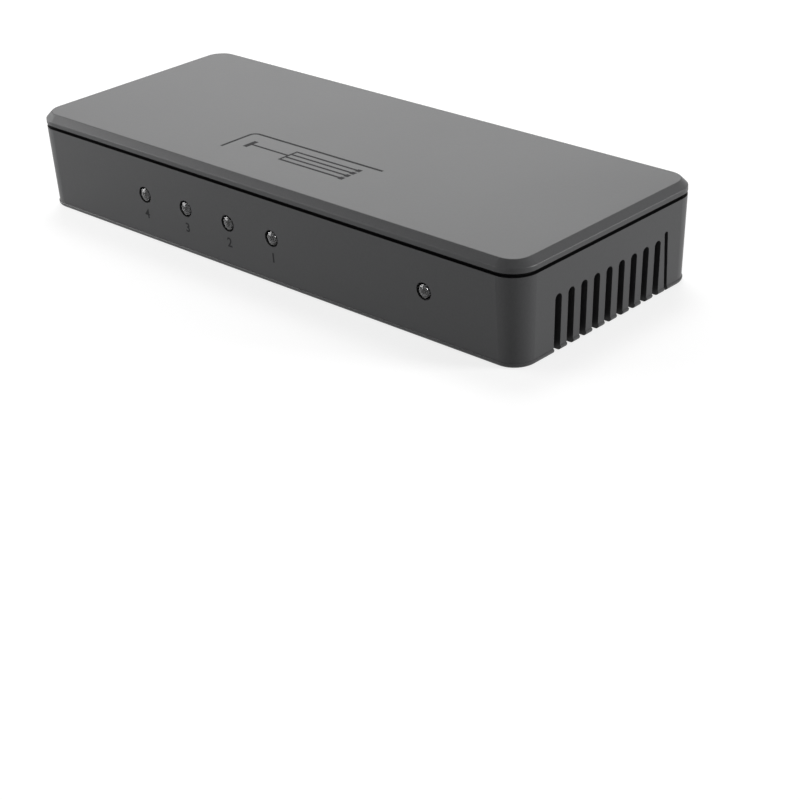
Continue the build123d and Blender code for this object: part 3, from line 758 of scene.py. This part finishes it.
class SPLITTER_OT_lamps(Operator):
    """Gives the lamps their clear resin, with a reflector cup and a dark die inside each."""

    bl_idname = "splitter.lamps"
    bl_label = "Lamps"

    # Pairs of radius and depth behind the cup's rim, in millimetres; a depth below 0 is before the rim
    CUP = ((0, 0.35), (0.5, 0.35), (0.84, 0.0), (0.92, 0.0), (0.92, 0.5), (0, 0.5))
    DIE = ((0, -0.08), (0.34, -0.08), (0.42, -0.02), (0.42, 0.34), (0, 0.34))

    def execute(self, context):
        finish = context.scene.splitter_lens
        dress(finished("lens_resin", colour=finish.resin), *LAMPS)
        silver = finished("cup_silver", colour=finish.cup)
        dark = finished("die_dark")
        mesh_piece("lamp_cups", lambda shape: self.turn(shape, finish, self.CUP), silver)
        mesh_piece("lamp_dies", lambda shape: self.turn(shape, finish, self.DIE), dark)
        return {"FINISHED"}

    def turn(self, shape, finish, profile):
        """The same turned form behind the tip of every lamp."""
        for name in LAMPS:
            low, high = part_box(name)
            rim = Vector(((low.x + high.x) / 2, low.y + finish.cup_depth, (low.z + high.z) / 2))
            turned(shape, rim, [(radius * MM, depth * MM) for radius, depth in profile])


class SPLITTER_OT_board(Operator):
    """Gives the board its mask and copper lines, and the leads on it their tin."""

    bl_idname = "splitter.board"
    bl_label = "Board and leads"

    def execute(self, context):
        dress(laminate(), "circuit_board")
        dress(finished("lead_tin"), "led_leads", "splitter_chip_leads", "control_chip_leads",
              "memory_chip_leads", "regulator_leads", "regulator_tabs")
        return {"FINISHED"}


class SPLITTER_OT_chips(Operator):
    """Gives the chips their resin, and the splitter chip's pad and sink their finishes."""

    bl_idname = "splitter.chips"
    bl_label = "Chips and heat sink"

    def execute(self, context):
        dress(finished("chip_resin"), "splitter_chip", "control_chip", "memory_chips", "regulators",
              "protection_arrays", "rectifier_diode")
        dress(finished("pad_rubber"), "thermal_pad")
        dress(finished("sink_aluminium"), "heat_sink")
        return {"FINISHED"}


class SPLITTER_OT_power_parts(Operator):
    """Gives the inductor, the capacitors, the fuse, the crystal and the small parts their finishes."""

    bl_idname = "splitter.power_parts"
    bl_label = "Power and small parts"

    # Finish and the piece that has it
    PARTS = {
        "ferrite": "power_inductor",
        "winding_copper": "inductor_winding",
        "can_aluminium": "capacitor_cans",
        "base_plastic": "capacitor_bases",
        "fuse_resin": "resettable_fuse",
        "crystal_steel": "crystal",
        "resistor_glaze": "chip_resistors",
        "capacitor_ceramic": "chip_capacitors",
    }

    def execute(self, context):
        for name, piece in self.PARTS.items():
            dress(finished(name), piece)
        return {"FINISHED"}


class SPLITTER_OT_screws(Operator):
    """Gives the screws their zinc plating."""

    bl_idname = "splitter.screws"
    bl_label = "Screws"

    def execute(self, context):
        dress(finished("screw_steel"), "case_screws", "board_screws")
        return {"FINISHED"}


class SPLITTER_OT_lamp_numbers(Operator):
    """Prints the plain numbers 4 to 1 under the four output lamps."""

    bl_idname = "splitter.lamp_numbers"
    bl_label = "Lamp numbers"

    def execute(self, context):
        finish = context.scene.splitter_print
        outputs = LAMPS[:-1]

        def build(shape):
            for index, name in enumerate(outputs):
                place = on_wall(FRONT, centre_x(name), finish.numeral_centre)
                numeral(shape, place, str(len(outputs) - index), finish.numeral, finish.thickness)

        mesh_piece("lamp_numbers", build, ink(context))
        return {"FINISHED"}


class SPLITTER_OT_cover_mark(Operator):
    """Prints the thin corner line and the one-to-four branch sign on the cover."""

    bl_idname = "splitter.cover_mark"
    bl_label = "Cover mark"

    # Places on the cover in millimetres, across and towards the sockets
    LINE = 0.65
    CORNER = (-19.7, -8.2)
    CORNER_RADIUS = 1.5
    LINE_RIGHT = 18.0
    LINE_FOOT = -18.0
    SIGN_LEFT = -16.0
    SIGN_RIGHT = 14.5
    SIGN_SPLIT = -4.0
    SIGN_MIDDLE = -13.5
    SIGN_STEP = 1.7
    SIGN_LINE = 0.55
    SOURCE_BAR = 3.6
    BRANCHES = 4
    DOT = 1.2

    def execute(self, context):
        thickness = context.scene.splitter_print.thickness
        place = Matrix.Translation((0, 0, cover_high.z))

        def draw(shape, points, width):
            stroke(shape, place, [(x * MM, y * MM) for x, y in points], width * MM, thickness)

        def build(shape):
            left, top = self.CORNER
            bend = arc((left + self.CORNER_RADIUS, top - self.CORNER_RADIUS), self.CORNER_RADIUS, 180, 90)
            draw(shape, [(left, self.LINE_FOOT), *bend, (self.LINE_RIGHT, top)], self.LINE)
            below = (self.BRANCHES - 1) / 2
            rows = [self.SIGN_MIDDLE + self.SIGN_STEP * (index - below) for index in range(self.BRANCHES)]
            half = self.SIGN_LINE / 2
            start, split, end = self.SIGN_LEFT + self.DOT, self.SIGN_SPLIT, self.SIGN_RIGHT - self.DOT
            draw(shape, [(start, self.SIGN_MIDDLE), (split - half, self.SIGN_MIDDLE)], self.SIGN_LINE)
            draw(shape, [(self.SIGN_LEFT, self.SIGN_MIDDLE), (start, self.SIGN_MIDDLE)], self.SOURCE_BAR)
            draw(shape, [(split, rows[0] - half), (split, rows[-1] + half)], self.SIGN_LINE)
            for row in rows:
                draw(shape, [(split + half, row), (end, row)], self.SIGN_LINE)
                draw(shape, [(end, row), (self.SIGN_RIGHT, row)], self.DOT)

        mesh_piece("cover_mark", build, ink(context))
        return {"FINISHED"}


class SPLITTER_OT_rear_marks(Operator):
    """Prints numbers and an arrow under the sockets and a direct current sign under the power jack."""

    bl_idname = "splitter.rear_marks"
    bl_label = "Rear marks"

    # The arrow and the current sign in millimetres, across and up from their middle
    LINE = 0.25
    ARROW_SHAFT = ((-1.6, 0), (1.1, 0))
    ARROW_HEAD = ((0.7, 0.7), (1.5, 0), (0.7, -0.7))
    CURRENT_SIGN = (((-1.4, 0.4), (1.4, 0.4)), ((-1.4, -0.4), (-0.7, -0.4)), ((-0.35, -0.4), (0.35, -0.4)),
                    ((0.7, -0.4), (1.4, -0.4)))

    def execute(self, context):
        finish = context.scene.splitter_print

        def draw(shape, place, points):
            stroke(shape, place, [(x * MM, y * MM) for x, y in points], self.LINE * MM, finish.thickness)

        def build(shape):
            *outputs, source = [centre_x(f"hdmi_core_{number}") for number in SOCKETS]
            for index, x in enumerate(outputs):
                place = on_wall(REAR, x, finish.rear_centre)
                numeral(shape, place, str(len(outputs) - index), finish.rear_mark, finish.thickness)
            for points in (self.ARROW_SHAFT, self.ARROW_HEAD):
                draw(shape, on_wall(REAR, source, finish.rear_centre), points)
            for points in self.CURRENT_SIGN:
                draw(shape, on_wall(REAR, centre_x("dc_jack_pin"), finish.rear_centre), points)

        mesh_piece("rear_marks", build, ink(context))
        return {"FINISHED"}


class SPLITTER_OT_stage(Operator):
    """Adds the camera, the lamps and the pale floor."""

    bl_idname = "splitter.stage"
    bl_label = "Stage"

    # Name, azimuth and elevation in degrees, distance and size in metres
    LAMP_PLACES = (
        ("sheen_lamp", -136, 30, 1.5, 0.8),
        ("top_lamp", -140, 62, 1.5, 0.6),
        ("front_lamp", -60, 8, 0.35, 0.3),
        ("glint_lamp", 4, 4, 1.5, 0.16),
        ("side_lamp", 122, 12, 1.5, 0.5),
    )

    def execute(self, context):
        scene = context.scene
        settings = scene.splitter_stage
        self.add_camera(scene, settings)
        self.add_floor(settings)
        for name, azimuth, elevation, distance, size in self.LAMP_PLACES:
            self.add_lamp(name, getattr(settings, name), azimuth, elevation, distance, size)
        self.light_world(scene, settings)
        scene.view_settings.view_transform = "Standard"
        return {"FINISHED"}

    def direction(self, azimuth, elevation):
        """The direction from the box, turned from its front and raised, with angles in radians."""
        return Vector((math.sin(azimuth) * math.cos(elevation), -math.cos(azimuth) * math.cos(elevation),
                       math.sin(elevation)))

    def add_camera(self, scene, settings):
        """Places the camera on its orbit, turned about its line of sight."""
        roll = settings.roll
        back = self.direction(settings.azimuth, settings.elevation)
        level = Vector((0, 0, 1)).cross(back).normalized()
        upright = back.cross(level)
        right = math.cos(roll) * level + math.sin(roll) * upright
        above = math.cos(roll) * upright - math.sin(roll) * level
        camera = bpy.data.objects.new("camera", bpy.data.cameras.new("camera"))
        scene.collection.objects.link(camera)
        camera.data.lens = settings.lens
        place = settings.distance * back + settings.aim_right * right + settings.aim_up * above
        turn = Matrix((right, above, back)).transposed().to_4x4()
        camera.matrix_world = Matrix.Translation(place) @ turn
        scene.camera = camera

    def seen_directly(self, nodes, links):
        """1 for rays from the camera, in reflections and through clear resin, and 0 for soft light."""
        path = nodes.new("ShaderNodeLightPath")
        seen = path.outputs["Is Camera Ray"]
        for kind in ("Is Glossy Ray", "Is Transmission Ray"):
            either = nodes.new("ShaderNodeMath")
            either.operation = "MAXIMUM"
            links.new(seen, either.inputs[0])
            links.new(path.outputs[kind], either.inputs[1])
            seen = either.outputs[0]
        return seen

    def add_floor(self, settings):
        """A wide pale floor just under the box, clear when seen from below."""
        mesh = bpy.data.meshes.new("floor")
        shape = bmesh.new()
        bmesh.ops.create_grid(shape, x_segments=1, y_segments=1, size=FLOOR_REACH)
        shape.to_mesh(mesh)
        shape.free()
        floor = bpy.data.objects.new("floor", mesh)
        floor.location.z = -FLOOR_GAP
        bpy.context.scene.collection.objects.link(floor)
        material = bpy.data.materials.new("floor_white")
        material.use_nodes = True
        nodes, links = material.node_tree.nodes, material.node_tree.links
        shader = nodes["Principled BSDF"]
        tone = settings.floor_tone
        shader.inputs["Base Color"].default_value = (tone, tone, tone, 1.0)
        shader.inputs["Roughness"].default_value = FLOOR_ROUGHNESS
        shader.inputs["Specular IOR Level"].default_value = 0.0
        shader.inputs["Emission Color"].default_value = WHITE
        glow = nodes.new("ShaderNodeMath")
        glow.operation = "MULTIPLY"
        glow.inputs[1].default_value = settings.floor_white
        links.new(self.seen_directly(nodes, links), glow.inputs[0])
        links.new(glow.outputs[0], shader.inputs["Emission Strength"])
        side = nodes.new("ShaderNodeNewGeometry")
        solid = nodes.new("ShaderNodeMath")
        solid.operation = "SUBTRACT"
        solid.inputs[0].default_value = 1.0
        links.new(side.outputs["Backfacing"], solid.inputs[1])
        links.new(solid.outputs[0], shader.inputs["Alpha"])
        mesh.materials.append(material)

    def add_lamp(self, name, power, azimuth, elevation, distance, size):
        """A soft square lamp that points at the box and isn't seen itself."""
        lamp = bpy.data.objects.new(name, bpy.data.lights.new(name, "AREA"))
        bpy.context.scene.collection.objects.link(lamp)
        lamp.data.energy = power
        lamp.data.size = size
        back = self.direction(math.radians(azimuth), math.radians(elevation))
        lamp.location = back * distance
        lamp.rotation_euler = back.to_track_quat("Z", "Y").to_euler()
        lamp.visible_camera = False
        lamp.visible_transmission = False

    def light_world(self, scene, settings):
        """Even light around the box, seen as white by the camera and in reflections."""
        world = bpy.data.worlds.new("studio")
        scene.world = world
        world.use_nodes = True
        nodes, links = world.node_tree.nodes, world.node_tree.links
        background = nodes["Background"]
        background.inputs["Color"].default_value = WHITE
        strength = nodes.new("ShaderNodeMix")
        strength.data_type = "FLOAT"
        strength.inputs["A"].default_value = settings.world
        strength.inputs["B"].default_value = 1.0
        links.new(self.seen_directly(nodes, links), strength.inputs["Factor"])
        links.new(strength.outputs["Result"], background.inputs["Strength"])


class SPLITTER_PT_panel(Panel):
    """Sidebar list of the pieces and the stage."""

    bl_idname = "SPLITTER_PT_panel"
    bl_label = "Splitter"
    bl_space_type = "VIEW_3D"
    bl_region_type = "UI"
    bl_category = "Splitter"

    def draw(self, context):
        for operator in OPERATORS:
            self.layout.operator(operator.bl_idname)
        for settings in SETTINGS:
            box = self.layout.box()
            for name in SETTINGS[settings].__annotations__:
                box.prop(getattr(context.scene, settings), name)


SETTINGS = {
    "splitter_case": CaseFinish,
    "splitter_metal": MetalFinish,
    "splitter_lens": LensFinish,
    "splitter_print": PrintFinish,
    "splitter_stage": StageSettings,
}
OPERATORS = (
    SPLITTER_OT_case,
    SPLITTER_OT_sockets,
    SPLITTER_OT_power_jack,
    SPLITTER_OT_lamps,
    SPLITTER_OT_board,
    SPLITTER_OT_chips,
    SPLITTER_OT_power_parts,
    SPLITTER_OT_screws,
    SPLITTER_OT_lamp_numbers,
    SPLITTER_OT_cover_mark,
    SPLITTER_OT_rear_marks,
    SPLITTER_OT_stage,
)
CLASSES = (*SETTINGS.values(), *OPERATORS, SPLITTER_PT_panel)


def register():
    """Registers the settings, the operators and the panel."""
    for kind in CLASSES:
        bpy.utils.register_class(kind)
    for name, kind in SETTINGS.items():
        setattr(bpy.types.Scene, name, PointerProperty(type=kind))


def unregister():
    """Takes them all away again."""
    for name in SETTINGS:
        delattr(bpy.types.Scene, name)
    for kind in reversed(CLASSES):
        bpy.utils.unregister_class(kind)


def main():
    """Builds the dressed box and its stage."""
    register()
    for operator in OPERATORS:
        group, action = operator.bl_idname.split(".")
        getattr(getattr(bpy.ops, group), action)()


if __name__ == "__main__":
    main()
